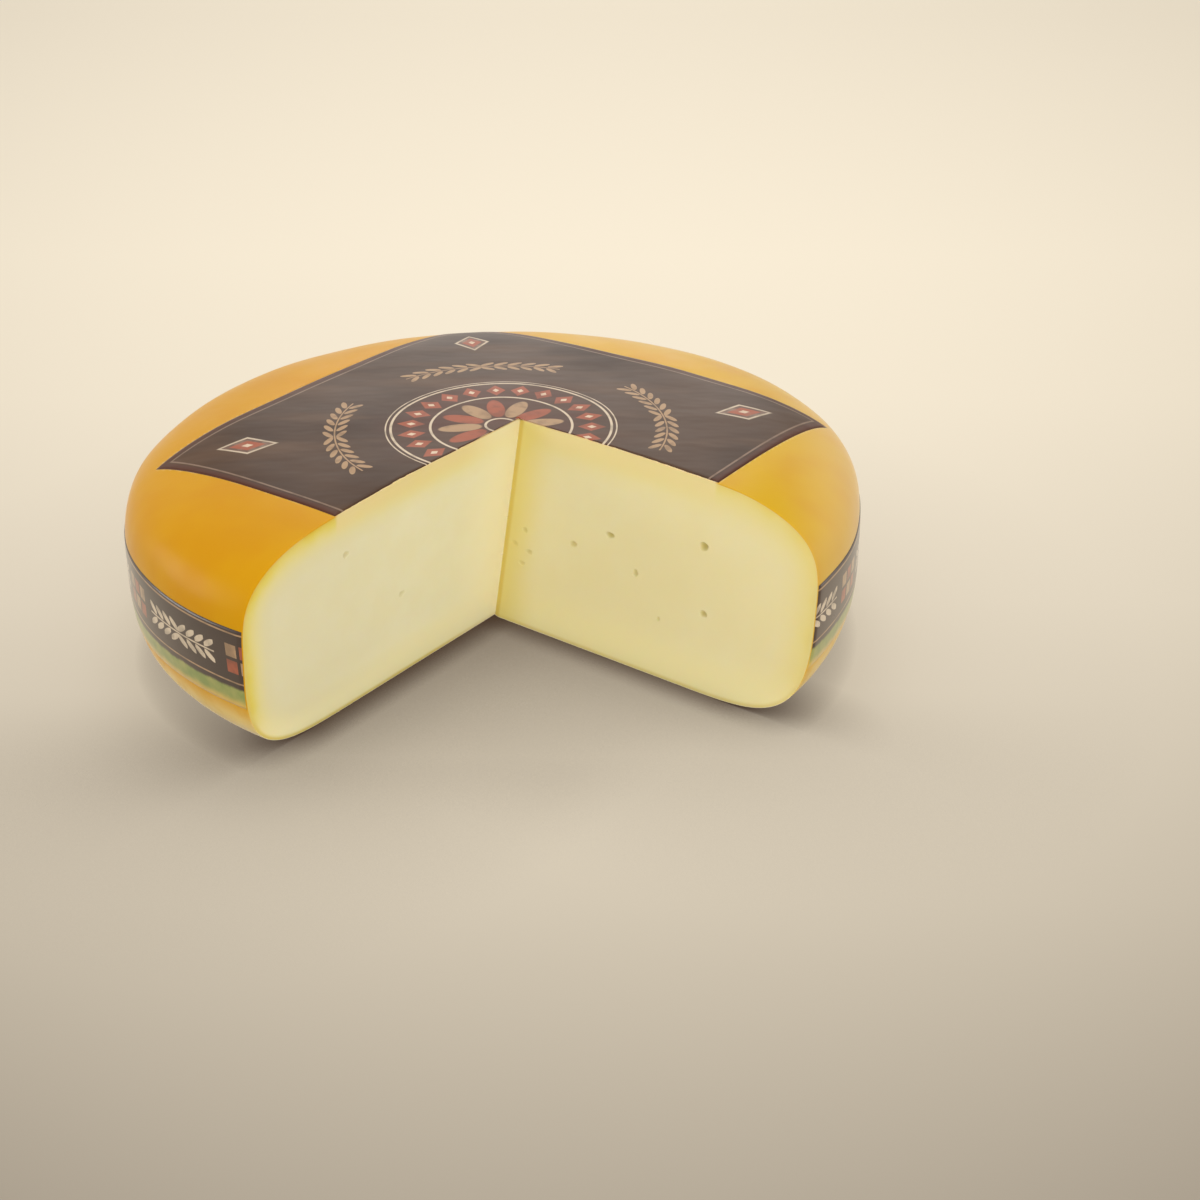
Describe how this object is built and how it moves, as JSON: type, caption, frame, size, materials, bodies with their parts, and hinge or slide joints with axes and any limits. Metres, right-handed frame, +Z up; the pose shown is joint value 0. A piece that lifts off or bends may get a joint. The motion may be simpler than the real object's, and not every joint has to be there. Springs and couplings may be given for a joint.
{
  "type": "farmhouse gouda cheese wheel with a cut quarter",
  "caption": "Round cheese wheel standing on its flat base, with rounded shoulders, a quarter cut out down to the crease, a square label on top and a band round the rim.",
  "frame": {"origin": "on the floor, under the middle of the part's box", "axes": "+Z up, the wheel's axis; the cut quarter opens towards -Y; +X to the right as seen facing the cut"},
  "size_m": [0.3712, 0.3344, 0.1097],
  "materials": {
    "cheese": "smooth golden coated rind with a soft gloss; pale cream paste with small eyes where it is cut",
    "label": null,
    "band": "thin dark brown printed film with a green lower stripe, under the rind's clear coat"
  },
  "bodies": {
    "root": {"cheese": "cheese", "top_label": "label", "side_band": "band"}
  },
  "joints": []
}
